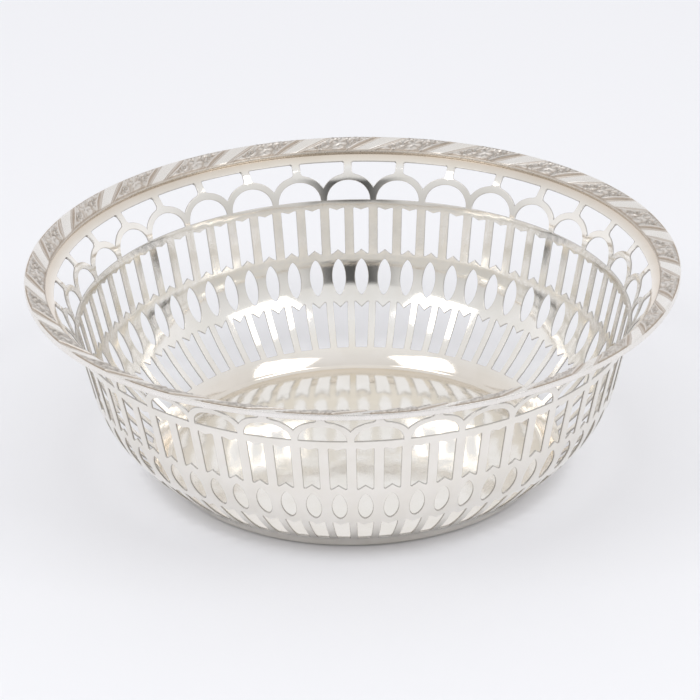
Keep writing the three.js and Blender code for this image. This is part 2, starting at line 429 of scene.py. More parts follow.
@dataclass
class SilverShop:
    """Makes the silver materials from one shared surface group.

    Attributes:
        blotch: Bumps per metre, detail and distortion of the faint blotches.
        swirl: The same for the polishing swirls, which make the metal duller.
        wave: The same for the slow unevenness.
        grain: The same for the fine marks.
        middle: The middle range of a noise, which is spread out.
        veil: Darkest red, green and blue of a blotch.
    """

    blotch: Noise = (140.0, 3.0, 0.4)
    swirl: Noise = (900.0, 2.0, 1.6)
    wave: Noise = (70.0, 2.0, 0.0)
    grain: Noise = (3200.0, 2.0, 0.8)
    middle: tuple[float, float] = (0.35, 0.65)
    veil: Color = (0.965, 0.96, 0.945)

    def __post_init__(self) -> None:
        """Builds the group that every silver material uses."""
        self.group = self._surface_group()

    def _surface_group(self) -> bpy.types.NodeTree:
        """The shared silver surface: tones, gloss and unevenness over Object coordinates.

        The mask turns the light tone into the dark one as painted shade, the painted tint
        darkens and warms it, and blotches veil it. The roughness runs from smooth to dull
        with the swirls, and grows with the mask. The wave and then the grain bend the normal.

        Returns:
            A node group that puts out a colour, a roughness and a normal.
        """
        tree = bpy.data.node_groups.new("silver_surface", "ShaderNodeTree")
        for way, kind, names in (
            ("INPUT", "Color", ("Light", "Dark", "Painted Tint Tone")),
            ("INPUT", "Float", ("Mask", "Seam", "Smooth", "Dull", "Dark Roughness")),
            ("INPUT", "Float", ("Wave", "Grain")),
            ("OUTPUT", "Color", ("Color",)),
            ("OUTPUT", "Float", ("Roughness",)),
            ("OUTPUT", "Vector", ("Normal",)),
        ):
            for name in names:
                socket = "NodeSocket" + kind
                tree.interface.new_socket(name=name, in_out=way, socket_type=socket)
        given = tree.nodes.new("NodeGroupInput").outputs
        wiring = Wiring(tree)
        where = wiring.node("TexCoord").outputs["Object"]
        blotch, swirl, wave, grain = (
            wiring.node(
                "TexNoise",
                {"Vector": where, "Scale": scale, "Detail": detail, "Distortion": distortion},
            ).outputs["Fac"]
            for scale, detail, distortion in (self.blotch, self.swirl, self.wave, self.grain)
        )
        tone = wiring.mix(given["Mask"], given["Light"], given["Dark"])
        tinted = wiring.mix(given["Seam"], tone, given["Painted Tint Tone"], "MULTIPLY")
        veil = wiring.node(
            "CombineColor",
            {i: wiring.carry(blotch, self.middle, (low, 1.0)) for i, low in enumerate(self.veil)},
        )
        color = wiring.mix(1.0, tinted, veil.outputs["Color"], "MULTIPLY")
        gloss = wiring.carry(swirl, self.middle, (given["Smooth"], given["Dull"]))
        gloss = wiring.reckon("MULTIPLY_ADD", given["Mask"], given["Dark Roughness"], gloss)
        bent = {}
        for amount, height in (("Wave", wave), ("Grain", grain)):
            inputs = {"Strength": 1.0, "Distance": given[amount], "Height": height, **bent}
            bent = {"Normal": wiring.node("Bump", inputs).outputs["Normal"]}
        result = tree.nodes.new("NodeGroupOutput")
        wiring.feed(result, {"Color": color, "Roughness": gloss, **bent})
        return tree

    def material(self, finish: SilverFinish) -> bpy.types.Material:
        """A silver material.

        Args:
            finish: The finish to make.

        Returns:
            The material, named for its slot.
        """
        material = bpy.data.materials.new(finish.slot.value)
        material.use_nodes = True
        wiring = Wiring(material.node_tree)
        # Masks of painted shade: the finish's own mask, and the painted tint, which is also a
        # painted warm reflection in the base's corner.
        mask, seam = (
            wiring.node("Attribute", attribute_name=name).outputs["Fac"]
            for name in (finish.mask, "seam")
        )
        inputs = {
            "Light": (*finish.light, 1.0),
            "Dark": (*finish.dark, 1.0),
            "Mask": mask,
            "Painted Tint Tone": (*finish.seam, 1.0),
            "Seam": seam,
            "Smooth": finish.roughness[0],
            "Dull": finish.roughness[1],
            "Dark Roughness": finish.dark_roughness,
            "Wave": finish.wave,
            "Grain": finish.grain,
        }
        surface = wiring.node("Group", inputs, node_tree=self.group).outputs
        metal = {"Metallic": 1.0, "Base Color": surface["Color"]}
        metal.update({name: surface[name] for name in ("Roughness", "Normal")})
        wiring.feed(material.node_tree.nodes["Principled BSDF"], metal)
        return material


@dataclass
class Pattern:
    """The bowl's pattern as a flat net of triangles over (angle, length up the wall)."""

    points: np.ndarray
    triangles: np.ndarray

    @classmethod
    def around(cls, half_bay: list[np.ndarray], middle: float) -> "Pattern":
        """Mirrors half a bay, turns it into all the bays and joins what coincides.

        Points are one where cos angle, sin angle and length agree to five places. A small
        shift keeps round values away from the limit between two roundings.

        Args:
            half_bay: Grids of points, rows up and columns right, from a post to a crown.
            middle: The length at which every angle is the same point, the base's middle.

        Returns:
            The whole pattern.
        """
        points, quads, count = [], [], 0
        for grid in half_bay:
            quads.append(grid_faces(*grid.shape[:2]) + count)
            points.append(grid.reshape(-1, 2))
            count += len(points[-1])
        half, half_quads = np.concatenate(points), np.concatenate(quads)
        bay = np.concatenate([half, half * [-1, 1]])
        bay_quads = np.concatenate([half_quads, half_quads[:, ::-1] + count])
        turns = np.arange(BAYS)[:, None, None]
        net = (bay[None] + turns * [PITCH, 0.0]).reshape(-1, 2)
        net_quads = (bay_quads[None] + turns * len(bay)).reshape(-1, 4)
        corners = np.concatenate([net_quads[:, [0, 1, 2]], net_quads[:, [0, 2, 3]]])
        net[np.isclose(net[:, 1], middle), 0] = 0.0
        place = np.stack([np.cos(net[:, 0]), np.sin(net[:, 0]), net[:, 1]], -1)
        places, shift = 5, 0.123
        key = np.round(place * 10**places + shift)
        _, first, merged = np.unique(key, axis=0, return_index=True, return_inverse=True)
        triangles = merged.reshape(-1)[corners]
        a, b, c = triangles.T
        return cls(net[first], triangles[(a != b) & (b != c) & (c != a)])

    def open_edges(self) -> tuple[np.ndarray, np.ndarray]:
        """The edges that only one triangle has, with the metal on their left.

        Returns:
            Their first and their second corners.
        """
        edges = self.triangles[:, [0, 1, 1, 2, 2, 0]].reshape(-1, 2)
        size = len(self.points)
        there = edges[:, 0] * size + edges[:, 1]
        back = edges[:, 1] * size + edges[:, 0]
        lone = edges[~np.isin(there, back)]
        return lone[:, 0], lone[:, 1]


@dataclass
class PiercedBowl:
    """The bowl: one sheet with a base, three rows of openings, an arcade and a brim.

    The hand-cut pattern isn't quite even: it is turned by turn + swing cos(angle).

    Attributes:
        painted_corner_tint: Strength of the painted warm reflection in the base's inner
        corner, its place and its breadth.
        base_rings: Rings of points on the base, as shares of the way to its middle.
        edge_rings: Rings on the base's rounded edge, as shares of its length.
        plain_steps: Steps up the lower bridge, the upper bridge, the rail, the collar and
            the brim.
        arcade_steps: Steps up the post, round the band, along the bend and round the flare.
        inner_turns: For the arch's inner line, the share of its turn at the post's top, and
            the turn at which the bend begins.
    """

    wall: Wall = field(default_factory=Wall)
    lower_bar: float = 1.8
    leaf_bar: float = 2.5
    tall_bar: float = 2.4
    post: float = 1.7
    strut_width: float = 2.1
    lower_point: float = 1.5
    tall_point: float = 1.2
    tall_head_point: float = 0.6
    point_power: float = 1.1
    leaf_powers: tuple[float, float] = (0.6, 0.68)
    slot_corner: float = 0.3
    strut_fillet: float = 0.9
    collar_fillet: float = 0.5
    round_edge: float = 0.14
    chamfer_shade: float = 0.25
    seam_reach: float = 3.4
    painted_corner_tint: tuple[float, float, float] = (0.55, 0.8, 3.0)
    turn: float = -0.004
    swing: float = -0.013
    bar_columns: int = 2
    slot_columns: int = 6
    slot_steps: int = 5
    leaf_steps: int = 12
    base_rings: tuple[float, ...] = (1.0, 0.62, 0.28)
    edge_rings: tuple[float, ...] = (1.0, 0.67, 0.33)
    plain_steps: tuple[int, int, int, int, int] = (3, 2, 2, 5, 3)
    arcade_steps: tuple[int, int, int, int] = (3, 10, 4, 4)
    inner_turns: tuple[float, float] = (0.9, 1.4)

    def _bar_angles(self, edge: np.ndarray, left: bool) -> np.ndarray:
        """Angles across half a bar, from its middle line to its edge or the other way.

        Args:
            edge: Angle of the bar's edge at each level.
            left: Whether the bar stands at the post's side of the slot.

        Returns:
            One row of angles for each level.
        """
        u = np.linspace(0, 1, self.bar_columns + 1)
        edge = np.asarray(edge, float)[:, None]
        return edge * u if left else edge + (PITCH / 2 - edge) * u

    @staticmethod
    def _grid(angles: np.ndarray, levels: np.ndarray) -> np.ndarray:
        """Joins angles and levels into points, one row of points for each level."""
        return np.stack(np.broadcast_arrays(angles, np.asarray(levels, float)[:, None]), -1)

    @staticmethod
    def _line(angles: list[np.ndarray], level: float) -> np.ndarray:
        """Points along a level line, at angles that come in parts."""
        return np.stack(np.broadcast_arrays(np.concatenate(angles), level), -1)

    @staticmethod
    def _between(lower: np.ndarray, upper: np.ndarray, steps: int) -> np.ndarray:
        """A grid of straight lines from each point of one line to its fellow on another."""
        v = np.linspace(0, 1, steps + 1)[:, None, None]
        return lower * (1 - v) + upper * v

    def _slot_row(self, foot: float, head: float, bar: float) -> list[np.ndarray]:
        """The half bars left and right of a slot, with the slot's rounded corners.

        A corner is a quarter circle: at a turn t the level is corner (1 - cos t) from the
        slot's end, and the bar is wider by corner (1 - sin t).

        Args:
            foot: Level of the slot's foot.
            head: Level of the slot's head.
            bar: Width of the bar between two slots.

        Returns:
            Two grids.
        """
        corner = self.slot_corner
        rise = corner * (1 - np.cos(QUARTER_TURN))
        extra = corner * (1 - np.sin(QUARTER_TURN))
        inside = np.linspace(foot + corner, head - corner, self.slot_steps + 1)[1:-1]
        levels = np.concatenate([foot + rise, inside, head - rise[::-1]])
        half = bar / 2 + np.concatenate([extra, np.zeros(len(inside)), extra[::-1]])
        edge = half / self.wall.outline(levels)[0]
        return [
            self._grid(self._bar_angles(edge, True), levels),
            self._grid(self._bar_angles(PITCH / 2 - edge, False), levels),
        ]

    def _slot_end(self, level: float, bar: float, point: float) -> np.ndarray:
        """The line across a slot's end and the half bars beside it.

        Over the slot the line leaves the level by point times (1 - |2u - 1|) to a power a
        little over one, which is a point with slightly hollow sides.

        Args:
            level: Level of the slot's end.
            bar: Width of the bar between two slots.
            point: How far the metal's point reaches up, or down where it is negative.

        Returns:
            The line's points, from the post's middle to the crown's.
        """
        edge = (bar / 2 + self.slot_corner) / self.wall.radius(level)
        u = np.linspace(0, 1, self.slot_columns + 1)[1:-1]
        left = self._bar_angles([edge], True)[0]
        right = self._bar_angles([PITCH / 2 - edge], False)[0]
        line = self._line([left, edge + (PITCH / 2 - 2 * edge) * u, right], level)
        over = slice(len(left), len(left) + len(u))
        line[over, 1] += point * (1 - np.abs(2 * u - 1)) ** self.point_power
        return line

    def _leaf_row(self) -> list[np.ndarray]:
        """The half bars left and right of a leaf.

        The leaf's half width is its widest one times (1 - t^2) to a power, with t running
        from -1 to 1 up the leaf. The power is lower in its rounder lower half.

        Returns:
            Two grids.
        """
        rows = self.wall.rows
        t = -np.cos(np.linspace(0, math.pi, self.leaf_steps + 1))
        levels = rows.leaf_foot + rows.leaf * (t + 1) / 2
        middle = (rows.leaf_foot + rows.leaf_head) / 2
        widest = PITCH / 4 - self.leaf_bar / 2 / self.wall.radius(middle)
        half = widest * np.clip(1 - t**2, 0, 1) ** np.where(t < 0, *self.leaf_powers)
        return [
            self._grid(self._bar_angles(PITCH / 4 - half, True), levels),
            self._grid(self._bar_angles(PITCH / 4 + half, False), levels),
        ]

    def _leaf_tips(self, level: float) -> np.ndarray:
        """The line through the leaves' tips, where the slot's columns meet in one point.

        Args:
            level: Level of the tips.

        Returns:
            The line's points.
        """
        quarter = [PITCH / 4]
        left, right = (self._bar_angles(quarter, side)[0] for side in (True, False))
        return self._line([left, quarter * (self.slot_columns - 1), right], level)

    def _plain_line(self, level: float, edge: float, bar_first: bool) -> np.ndarray:
        """A level line with the bar's columns on one side of an angle and the rest beyond.

        Args:
            level: Level of the line.
            edge: The angle that parts them.
            bar_first: Whether the bar's columns lie at the post's side.

        Returns:
            The line's points.
        """
        near, far = self.bar_columns, self.bar_columns + self.slot_columns
        if not bar_first:
            near, far = far, near
        first = np.linspace(0, edge, near + 1)
        return self._line([first, np.linspace(edge, PITCH / 2, far + 1)[1:]], level)

    def _arcade(self) -> tuple[np.ndarray, float]:
        """Half an arch's band with half its strut, as one grid along the band.

        Distances are taken from the arch's middle line. The inner line is a quarter ellipse
        and then the strut's middle line. The outer line climbs the post's middle to where
        the two bands part, follows a wider quarter ellipse, turns into the strut's straight
        edge by a Bezier curve and flares into the collar by a quarter circle.

        Returns:
            The grid, and the angle of the strut's flared edge from the middle line.
        """
        rows = self.wall.rows
        radius = self.wall.radius(rows.arch_foot)
        reach = PITCH / 2 * radius
        inner_half = reach - self.post / 2
        outer_half = inner_half + rows.arch_band
        outer_rise = rows.arch_rise + rows.arch_band
        top = rows.collar_foot - rows.arch_foot
        strut = self.strut_width / 2 / self.wall.radius(rows.crown) * radius
        on_post, on_band, on_bend, on_flare = self.arcade_steps

        def ellipse(half: float, rise: float, turn: np.ndarray) -> np.ndarray:
            """Points (half cos t, rise sin t)."""
            return np.stack([half * np.cos(turn), rise * np.sin(turn)], -1)

        part = math.acos(reach / outer_half)
        meet = math.acos(strut / outer_half)
        tip = outer_rise * math.sin(part)
        post = np.stack([np.full(on_post + 1, reach), np.linspace(0, tip, on_post + 1)], -1)
        leave = meet - self.strut_fillet / outer_half
        band = ellipse(outer_half, outer_rise, np.linspace(part, leave, on_band + 1))
        corner = ellipse(outer_half, outer_rise, np.array([meet]))[0]
        ends = band[-1], np.array([strut, corner[1] + self.strut_fillet])
        u = np.linspace(0, 1, on_bend + 1)[:, None]
        bend = (1 - u) ** 2 * ends[0] + 2 * u * (1 - u) * corner + u**2 * ends[1]
        turn = np.linspace(0, math.pi / 2, on_flare + 1)[:, None]
        flare = np.concatenate([1 - np.cos(turn), np.sin(turn) - 1], -1)
        flare = np.array([strut, top]) + self.collar_fillet * flare
        outer = np.concatenate([post, band[1:], bend[1:], flare])
        share, near_crown = self.inner_turns
        low = math.asin(min(1.0, tip / rows.arch_rise) * share)
        turns = [
            np.linspace(0, low, on_post + 1),
            np.linspace(low, near_crown, on_band + 1)[1:],
            np.linspace(near_crown, math.pi / 2, on_bend + 1)[1:],
        ]
        arch = ellipse(inner_half, rows.arch_rise, np.concatenate(turns))
        climb = np.linspace(rows.arch_rise, top, on_flare + 2)[1:]
        inner = np.concatenate([arch, np.stack([np.zeros(on_flare + 1), climb], -1)])
        v = np.linspace(0, 1, self.bar_columns + 1)[None, :, None]
        grid = outer[:, None] * (1 - v) + inner[:, None] * v
        grid = np.stack([PITCH / 2 - grid[..., 0] / radius, rows.arch_foot + grid[..., 1]], -1)
        return grid, float(outer[-1, 0]) / radius

    def half_bay(self) -> list[np.ndarray]:
        """Half a bay of the pattern, from the middle of a post to the middle of an arch.

        Returns:
            Grids of points (angle, length up the wall), rows up and columns right.
        """
        rows, wall = self.wall.rows, self.wall
        lower_bridge, upper_bridge, rail, collar, brim = self.plain_steps
        slot_foot = self._slot_end(rows.foot_band, self.lower_bar, 0.0)
        lower_head = self._slot_end(rows.lower_head, self.lower_bar, -self.lower_point)
        tall_foot = self._slot_end(rows.tall_foot, self.tall_bar, self.tall_point)
        tall_head = self._slot_end(rows.tall_head, self.tall_bar, -self.tall_head_point)
        post_edge = self.post / 2 / wall.radius(rows.arch_foot)
        arch_feet = self._plain_line(rows.arch_foot, post_edge, True)
        arcade, flare = self._arcade()
        base_levels = [wall.middle * share for share in self.base_rings]
        base_levels += [wall.flat_edge * share for share in self.edge_rings]
        base_levels += [0.0, rows.foot_band / 2, rows.foot_band]
        collar_line = self._plain_line(rows.collar_foot, PITCH / 2 - flare, False)
        collar_levels = np.linspace(rows.collar_foot, rows.brim_foot, collar + 1)
        brim_levels = np.linspace(rows.brim_foot, rows.rim, brim + 1)[1:]
        return [
            self._grid(slot_foot[:, 0], base_levels),
            *self._slot_row(rows.foot_band, rows.lower_head, self.lower_bar),
            self._between(lower_head, self._leaf_tips(rows.leaf_foot), lower_bridge),
            *self._leaf_row(),
            self._between(self._leaf_tips(rows.leaf_head), tall_foot, upper_bridge),
            *self._slot_row(rows.tall_foot, rows.tall_head, self.tall_bar),
            self._between(tall_head, arch_feet, rail),
            arcade,
            self._grid(collar_line[:, 0], np.concatenate([collar_levels, brim_levels])),
        ]

    @staticmethod
    def _ways_out(
        outer: np.ndarray, normal: np.ndarray, start: np.ndarray, end: np.ndarray
    ) -> tuple[np.ndarray, np.ndarray]:
        """The ways out of the metal at the corners of the open edges.

        An edge's way out is square to it and to the normal. A corner's is the sum of its two
        edges' ways. Divided by 1 + their product, or by a half where that is more, it moves
        both edges by one.

        Args:
            outer: Points of the outer face.
            normal: Their normals.
            start: First corners of the open edges.
            end: Second corners of the open edges.

        Returns:
            For each point the move out by one and the unit way out, or zeros off the edges.
        """
        out = unit(np.cross(outer[end] - outer[start], normal[start]))
        leaving, arriving = np.zeros_like(outer), np.zeros_like(outer)
        leaving[start] = out
        arriving[end] = out
        both = leaving + arriving
        product = np.sum(leaving * arriving, -1, keepdims=True)
        return both / np.maximum(1 + product, 0.5), unit(both)

    def build(self, material: bpy.types.Material) -> bpy.types.Object:
        """Builds the bowl.

        Both faces of the sheet are the pattern laid on the wall. Along every open edge they
        draw back by the rounding, and a wall joins them whose corners are chamfered and
        shaded as round.

        Args:
            material: The polished silver.

        Returns:
            The finished piece.
        """
        net = Pattern.around(self.half_bay(), self.wall.middle)
        angle, s = net.points.T
        angle = angle + self.turn + self.swing * np.cos(angle)
        start, end = net.open_edges()
        outer = self.wall.place(angle, s, 0.0)
        normal = self.wall.normal(angle, s)
        move, way_out = self._ways_out(outer, normal, start, end)
        back = move * self.round_edge
        rim = np.unique(np.concatenate([start, end]))
        inner = self.wall.place(angle, s, SHEET)
        high = self.wall.place(angle[rim], s[rim], self.round_edge)
        low = self.wall.place(angle[rim], s[rim], SHEET - self.round_edge)
        points = np.concatenate([outer - back, inner - back, high, low])
        normals = np.concatenate([normal, -normal, way_out[rim], way_out[rim]])
        count = len(s)
        order = np.zeros(count, int)
        order[rim] = 2 * count + np.arange(len(rim))
        levels = [np.arange(count), order, order + len(rim), count + np.arange(count)]
        walls = [
            np.stack([near[end], near[start], far[start], far[end]], -1)
            for near, far in zip(levels[:-1], levels[1:])
        ]
        quads = np.concatenate(walls)
        sheets = [net.triangles, net.triangles[:, ::-1] + count]
        faces = np.concatenate([*sheets, quads[:, [0, 1, 2]], quads[:, [0, 2, 3]]])
        # The openings' sawn faces get painted shade, full on the face and a share on its chamfers;
        # the added roughness is their own.
        edges = np.repeat([self.chamfer_shade, 1.0, self.chamfer_shade], len(start))
        cut = np.concatenate([np.zeros(2 * len(net.triangles)), edges, edges])
        # Painted tint on the inner face: painted shade near the border, and a painted warm
        # reflection in the base's inner corner.
        strength, place, breadth = self.painted_corner_tint
        corner = strength * np.exp(-(((s - place) / breadth) ** 2))
        close = (s - self.wall.rows.brim_foot + OVERHANG + self.seam_reach) / self.seam_reach
        seam = np.zeros(len(points))
        seam[count : 2 * count] = np.maximum(np.clip(close, 0, 1), corner)
        item = mesh_object("pierced_bowl_silver", points * MM, faces, normals)
        item.data.materials.append(material)
        set_mask(item, "cut_edge", cut, "FACE")
        set_mask(item, "seam", seam)
        log.info("bowl: %d points, %d faces", len(points), len(faces))
        return item


@dataclass(frozen=True)
class Ornament:
    """The relief on a panel: a flower in its middle, scrolls, leaves, beads and stipple.

    Motifs are placed from the panel's middle, and each has a twin at the opposite place. All
    of them follow the panel's lean with their places, but keep their own shapes.

    Attributes:
        scroll: Place and radius of a scroll.
        leaves: Places, tilts and half lengths of the leaves.
        veins: How fast the veins' wave turns along a leaf and to its side.
        beads: Places of the beads.
        pearl_line: Place across of the row of small domes, as a share of the border's width.
        pearl_pitch: Distance from one of them to the next.
    """

    flower_radius: float = 1.9
    flower_height: float = 0.44
    petals: int = 5
    heart_radius: float = 0.55
    heart_height: float = 0.5
    scroll: tuple[float, float, float] = (3.2, 0.45, 1.7)
    scroll_pitch: float = 1.1
    scroll_height: float = 0.44
    scroll_power: float = 0.7
    leaves: tuple[tuple[float, float, float, float], ...] = (
        (1.9, -1.75, 0.4, 1.3),
        (4.6, -1.4, 0.9, 1.2),
        (4.3, 1.75, -0.3, 1.2),
    )
    leaf_half: float = 0.62
    leaf_height: float = 0.46
    veins: tuple[float, float] = (7.0, 5.0)
    vein_depth: float = 0.3
    beads: tuple[tuple[float, float], ...] = ((1.75, 2.0), (5.3, 0.2))
    bead_radius: float = 0.55
    bead_height: float = 0.42
    pearl_line: float = 0.37
    pearl_pitch: float = 1.05
    pearl_radius: float = 0.44
    pearl_height: float = 0.5
    stipple: float = 1.0
    stipple_height: float = 0.15
    stipple_power: float = 0.6
    stipple_share: float = 0.08

    def _flower(self, x: np.ndarray, y: np.ndarray) -> np.ndarray:
        """Height of the flower.

        A petal is a lobe of cos(petals angle) under a dome, and the heart is a small dome.

        Args:
            x: Distance along the rim from the flower's middle.
            y: Distance across from it.

        Returns:
            The height at each point.
        """
        radius = np.hypot(x, y)
        lobes = 0.5 + 0.5 * np.cos(self.petals * np.arctan2(y, x))
        petals = lobes * bulge((radius / self.flower_radius) ** 2)
        heart = bulge((radius / self.heart_radius) ** 2)
        return np.maximum(self.flower_height * petals, self.heart_height * heart)

    def _scroll(self, x: np.ndarray, y: np.ndarray) -> np.ndarray:
        """Height of a scroll.

        It is a ridge wound round its middle, a power of the cosine that is highest where
        radius / pitch - angle / 2 pi is whole.

        Args:
            x: Distance along the rim from the scroll's middle.
            y: Distance across from it.

        Returns:
            The height at each point.
        """
        radius = np.hypot(x, y)
        wound = radius / self.scroll_pitch - np.arctan2(y, x) / (2 * math.pi)
        ridge = np.clip(np.cos(2 * math.pi * wound), 0, 1) ** self.scroll_power
        return self.scroll_height * ridge * (radius < self.scroll[2])

    def _leaf(self, x: np.ndarray, y: np.ndarray, tilt: float, half: float) -> np.ndarray:
        """Height of a leaf.

        It is a dome on an ellipse, with veins by the cosine of a along - b |side|.

        Args:
            x: Distance along the rim from the leaf's middle.
            y: Distance across from it.
            tilt: Its turn from the rim, in radians.
            half: Half its length.

        Returns:
            The height at each point.
        """
        along = x * math.cos(tilt) + y * math.sin(tilt)
        side = y * math.cos(tilt) - x * math.sin(tilt)
        body = bulge((along / half) ** 2 + (side / self.leaf_half) ** 2)
        wave = np.cos(along * self.veins[0] - np.abs(side) * self.veins[1])
        return self.leaf_height * body * (1 - self.vein_depth + self.vein_depth * wave)

    def height(self, x: np.ndarray, y: np.ndarray, shear: float, width: float) -> np.ndarray:
        """Height of the ornament over the panel's ground.

        Where motifs overlap, the higher one counts. A row of small domes, one to a pitch,
        runs along the outer edge. Between all of them the ground is stippled by a power of
        cos(2 pi x / size) cos(2 pi y / size).

        Args:
            x: Distance along the rim from the panel's middle.
            y: Distance across from the border's middle line.
            shear: How far the panel leans along the rim for each step across.
            width: Width of the border.

        Returns:
            The height at each point.
        """

        def past(cx: float, cy: float) -> tuple[np.ndarray, np.ndarray]:
            """Distances along and across from a motif's place, which leans with the panel."""
            return x - cx - shear * cy, y - cy

        height = self._flower(x, y)
        for way in (1, -1):
            cx, cy, _ = self.scroll
            height = np.maximum(height, self._scroll(*past(way * cx, way * cy)))
            for cx, cy, tilt, half in self.leaves:
                height = np.maximum(height, self._leaf(*past(way * cx, way * cy), tilt, half))
            for cx, cy in self.beads:
                bead = bulge((np.hypot(*past(way * cx, way * cy)) / self.bead_radius) ** 2)
                height = np.maximum(height, self.bead_height * bead)
        half_pitch = self.pearl_pitch / 2
        along = (x + half_pitch) % self.pearl_pitch - half_pitch
        spot = np.hypot(along, y - self.pearl_line * width)
        height = np.maximum(height, self.pearl_height * bulge((spot / self.pearl_radius) ** 2))
        turn = 2 * math.pi / self.stipple
        dots = np.cos(turn * x) * np.cos(turn * y)
        ground = self.stipple_height * np.clip(dots, 0, 1) ** self.stipple_power
        return np.maximum(height * (1 - self.stipple_share * (1 - dots)), ground)


@dataclass
class ReliefBorder:
    """The border on the brim: smooth ribbons that cross it at a lean, and flowered panels.

    The ribbons aren't spaced quite evenly: the border is turned by swing sin(angle).

    Attributes:
        middle_radius: Radius at which the length of one repeat is measured.
        ribbon_fall: Share of a ribbon's height that is lost at its sides.
        blade: Place, bow, half width and height of the bowed leaf at a panel's end.
        slopes: How fast a panel rises from its end, and its flowers beyond that leaf.
        rises: Breadths over which the relief rises from the collar and from the rim, and the
            place of its outer foot, as shares of the width.
        hollows: Relief at which the painted shade would run out, and its least and the
            inner edge's painted shade.
        seam_share: Breadth of the painted shade along the inner edge, as a share of the width.
        middle_ribbon: Angle from the front of the ribbon at the back, in degrees.
        skin: How far the lip stands outside the sheet's outer face.
    """

    wall: Wall = field(default_factory=Wall)
    ornament: Ornament = field(default_factory=Ornament)
    repeats: int = 25
    middle_radius: float = 79.0
    outer_reach: float = 0.2
    solder: float = 0.3
    edge: float = 0.51
    ribbon_width: float = 4.6
    ribbon_crown: float = 0.22
    ribbon_fall: float = 0.45
    ribbon_twist: float = 0.12
    ribbon_flare: float = 0.4
    reed: float = 0.8
    reed_height: float = 0.16
    reed_shade: float = 0.6
    groove: float = 0.3
    panel_ground: float = 0.06
    panel_swell: float = 0.14
    blade: tuple[float, float, float, float] = (0.55, 0.8, 0.42, 0.4)
    slopes: tuple[float, float] = (10.0, 2.0)
    rises: tuple[float, float, float] = (0.08, 0.04, 0.99)
    hollows: tuple[float, float, float] = (0.46, 0.22, 0.5)
    seam_share: float = 0.09
    inset: float = 0.25
    lean: float = 8.2
    middle_ribbon: float = 174.9
    swing: float = 1.3
    wrap: float = 1.1
    corner: float = 0.14
    skin: float = 0.04
    foot_gap: float = 1.0
    foot_corner: float = 0.08
    around_steps: int = 106
    across_steps: int = 24

    @property
    def width(self) -> float:
        """Width of the border's top."""
        return self.wall.rows.brim + OVERHANG + self.outer_reach

    @property
    def panel_start(self) -> float:
        """Distance from a ribbon's middle to a panel, which begins half a groove past the reed."""
        return self.ribbon_width / 2 + self.groove * 1.5 + self.reed

    def relief(self, x: np.ndarray, v: np.ndarray, length: float) -> np.ndarray:
        """Height of the border over its edge.

        A ribbon is crown (1 - fall t^2), with t from its middle to its sides, and twisted by
        t (1 - 2v). A reed beside it is half round. The panel swells with the root of the way
        from its end to its middle and carries the ornament, and a bowed leaf with a round
        back closes it at each end.

        Args:
            x: Distance along the rim from the middle of a ribbon, from 0 to length.
            v: Place across the border, from 0 at the collar to 1 at the rim.
            length: Length of one repeat.

        Returns:
            The height at each point, before it falls to nothing at both edges.
        """
        near = np.minimum(x, length - x)
        half = self.ribbon_width / 2
        side = np.where(x < length / 2, x, x - length)
        twist = self.ribbon_twist * np.clip(side / half, -1, 1) * (1 - 2 * v)
        fall = self.ribbon_fall * np.clip(near / half, 0, 1) ** 2
        ribbon = self.ribbon_crown * (1 - fall) + twist
        reed_middle = half + self.groove + self.reed / 2
        reed = self.reed_height * bulge(((near - reed_middle) / (self.reed / 2)) ** 2)
        into = near - self.panel_start
        along = into / (length / 2 - self.panel_start)
        ground = self.panel_ground + self.panel_swell * np.clip(along, 0, 1) ** 0.5
        y = (v - 0.5) * self.width
        shear = self.lean / self.width
        flowers = self.ornament.height(x - length / 2 + shear * y, y, shear, self.width)
        place, bow, half_width, height = self.blade
        sweep = into - place - bow * (1 - (2 * v - 1) ** 2)
        blade = height * bulge((sweep / half_width) ** 2)
        panel_slope, flower_slope = self.slopes
        flowers = flowers * np.clip(sweep * flower_slope, 0, 1)
        panel = (ground + np.maximum(flowers, blade)) * np.clip(along * panel_slope, 0, 1)
        return np.where(into > 0, panel, np.where(near < half, ribbon, reed))

    def _repeat(self) -> tuple[np.ndarray, ...]:
        """The top of one repeat, from the middle of a ribbon to the middle of the next.

        The relief rises from both edges by the smooth step 3 t^2 - 2 t^3. Low metal gets
        painted shade, more in the panels than on the reeds, none on the ribbons, and the
        inner edge gets painted shade too.

        Returns:
            Angles, lengths along the path, depths, the mask of painted shade in the hollows
            and the mask of painted shade along the inner edge, each with a row for every step
            along the rim and a column for every step across.
        """
        rows = self.wall.rows
        length = 2 * math.pi * self.middle_radius / self.repeats
        share = np.arange(self.around_steps) / self.around_steps
        steps = np.linspace(0, 1, self.across_steps + 1)
        x, across = np.meshgrid(share * length, steps, indexing="ij")
        inner_rise, outer_rise, outer_foot = self.rises
        rise = np.minimum(across / inner_rise, (outer_foot - across) / outer_rise)
        rise = np.clip(rise, 0, 1)
        relief = self.relief(x, across, length) * (rise * rise * (3 - 2 * rise))
        depth = SHEET + self.solder + self.edge + relief
        half = self.ribbon_width / 2
        near = np.minimum(x, length - x)
        clean, least, at_edge = self.hollows
        tone = np.where(near < self.panel_start + self.groove, self.reed_shade, 1.0)
        hollow = np.where(near < half, 0.0, tone * np.clip(1 - relief / clean, least, 1))
        # Painted shade at the inner edge, and the painted tint along it as shade.
        hollow[:, 0] = at_edge
        seam = np.clip(1 - across / self.seam_share, 0, 1)
        flare = self.ribbon_flare * (2 * across - 1) * np.sin(2 * math.pi * share[:, None])
        along = self.lean * (across - 0.5) + flare
        angle = math.radians(self.middle_ribbon) - 2 * math.pi / self.repeats * share[:, None]
        angle = angle - along / self.wall.radius(rows.rim)
        inner = rows.brim_foot - OVERHANG
        s = inner + self.inset + across * (self.width - self.inset)
        return angle, s, depth, hollow, seam

